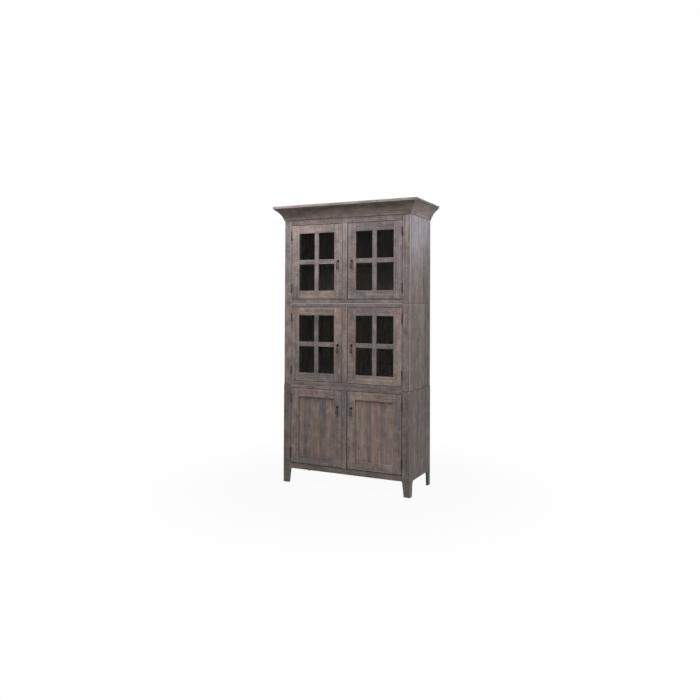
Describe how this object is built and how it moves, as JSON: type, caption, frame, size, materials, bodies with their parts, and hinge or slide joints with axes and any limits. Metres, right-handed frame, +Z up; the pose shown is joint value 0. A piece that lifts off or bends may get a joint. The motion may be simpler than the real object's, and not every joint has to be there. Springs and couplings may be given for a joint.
{
  "type": "hutch",
  "caption": "Tall stacking hutch with glazed doors over panel doors, a cove crown under a flat cap, drop pulls and feet cut in the base.",
  "frame": {"origin": "on the floor, under the middle of the cap board's outline", "axes": "+Z up, +X to the right across the front, -Y out of the front where the doors open"},
  "size_m": [1.217, 0.511, 2.1843],
  "materials": {
    "wood": "rough-sawn boards in a weathered grey-brown stain, matt",
    "inside_wood": "the same stain, smoother and darker inside",
    "back_board": "stained veneer on plywood",
    "glass": "clear float glass with polished edges",
    "black_iron": "blackened, low sheen"
  },
  "bodies": {
    "cabinet": {"cap_board": "wood", "crown_front": "wood", "crown_left": "wood", "crown_right": "wood", "lower_face_frame": "wood", "lower_left_side": "wood", "lower_right_side": "wood", "lower_back": "back_board", "lower_bottom_board": "inside_wood", "lower_top_board": "inside_wood", "lower_wood_shelf": "inside_wood", "lower_left_top_hinge": "black_iron", "lower_left_bottom_hinge": "black_iron", "lower_right_top_hinge": "black_iron", "lower_right_bottom_hinge": "black_iron", "middle_face_frame": "wood", "middle_left_side": "wood", "middle_right_side": "wood", "middle_back": "back_board", "middle_bottom_board": "inside_wood", "middle_top_board": "inside_wood", "middle_glass_shelf": "glass", "middle_left_top_hinge": "black_iron", "middle_left_bottom_hinge": "black_iron", "middle_right_top_hinge": "black_iron", "middle_right_bottom_hinge": "black_iron", "upper_face_frame": "wood", "upper_left_side": "wood", "upper_right_side": "wood", "upper_back": "back_board", "upper_bottom_board": "inside_wood", "upper_glass_shelf": "glass", "upper_left_top_hinge": "black_iron", "upper_left_bottom_hinge": "black_iron", "upper_right_top_hinge": "black_iron", "upper_right_bottom_hinge": "black_iron"},
    "lower_left_door": {"lower_left_door_frame": "wood", "lower_left_door_panel": "wood", "lower_left_pull_post": "black_iron"},
    "lower_left_drop": {"lower_left_pull_drop": "black_iron"},
    "lower_right_door": {"lower_right_door_frame": "wood", "lower_right_door_panel": "wood", "lower_right_pull_post": "black_iron"},
    "lower_right_drop": {"lower_right_pull_drop": "black_iron"},
    "middle_left_door": {"middle_left_door_frame": "wood", "middle_left_door_glass": "glass", "middle_left_pull_post": "black_iron"},
    "middle_left_drop": {"middle_left_pull_drop": "black_iron"},
    "middle_right_door": {"middle_right_door_frame": "wood", "middle_right_door_glass": "glass", "middle_right_pull_post": "black_iron"},
    "middle_right_drop": {"middle_right_pull_drop": "black_iron"},
    "upper_left_door": {"upper_left_door_frame": "wood", "upper_left_door_glass": "glass", "upper_left_pull_post": "black_iron"},
    "upper_left_drop": {"upper_left_pull_drop": "black_iron"},
    "upper_right_door": {"upper_right_door_frame": "wood", "upper_right_door_glass": "glass", "upper_right_pull_post": "black_iron"},
    "upper_right_drop": {"upper_right_pull_drop": "black_iron"}
  },
  "joints": [
    {"name": "lower_left_door_swing", "type": "hinge", "parent": "cabinet", "child": "lower_left_door", "pos_m": [-0.4705, -0.1888, 0.159], "axis": [0, 0, -1], "range_deg": [0, 170]},
    {"name": "lower_left_drop_swing", "type": "hinge", "parent": "lower_left_door", "child": "lower_left_drop", "pos_m": [-0.05875, -0.1973, 0.621], "axis": [-1, 0, 0], "range_deg": [-8, 100]},
    {"name": "lower_right_door_swing", "type": "hinge", "parent": "cabinet", "child": "lower_right_door", "pos_m": [0.4705, -0.1888, 0.159], "axis": [0, 0, 1], "range_deg": [0, 170]},
    {"name": "lower_right_drop_swing", "type": "hinge", "parent": "lower_right_door", "child": "lower_right_drop", "pos_m": [0.05875, -0.1973, 0.621], "axis": [-1, 0, 0], "range_deg": [-8, 100]},
    {"name": "middle_left_door_swing", "type": "hinge", "parent": "cabinet", "child": "middle_left_door", "pos_m": [-0.4705, -0.1868, 0.808], "axis": [0, 0, -1], "range_deg": [0, 170]},
    {"name": "middle_left_drop_swing", "type": "hinge", "parent": "middle_left_door", "child": "middle_left_drop", "pos_m": [-0.05875, -0.1953, 1.09825], "axis": [-1, 0, 0], "range_deg": [-8, 100]},
    {"name": "middle_right_door_swing", "type": "hinge", "parent": "cabinet", "child": "middle_right_door", "pos_m": [0.4705, -0.1868, 0.808], "axis": [0, 0, 1], "range_deg": [0, 170]},
    {"name": "middle_right_drop_swing", "type": "hinge", "parent": "middle_right_door", "child": "middle_right_drop", "pos_m": [0.05875, -0.1953, 1.09825], "axis": [-1, 0, 0], "range_deg": [-8, 100]},
    {"name": "upper_left_door_swing", "type": "hinge", "parent": "cabinet", "child": "upper_left_door", "pos_m": [-0.4705, -0.1868, 1.4515], "axis": [0, 0, -1], "range_deg": [0, 170]},
    {"name": "upper_left_drop_swing", "type": "hinge", "parent": "upper_left_door", "child": "upper_left_drop", "pos_m": [-0.05875, -0.1953, 1.74175], "axis": [-1, 0, 0], "range_deg": [-8, 100]},
    {"name": "upper_right_door_swing", "type": "hinge", "parent": "cabinet", "child": "upper_right_door", "pos_m": [0.4705, -0.1868, 1.4515], "axis": [0, 0, 1], "range_deg": [0, 170]},
    {"name": "upper_right_drop_swing", "type": "hinge", "parent": "upper_right_door", "child": "upper_right_drop", "pos_m": [0.05875, -0.1953, 1.74175], "axis": [-1, 0, 0], "range_deg": [-8, 100]}
  ]
}
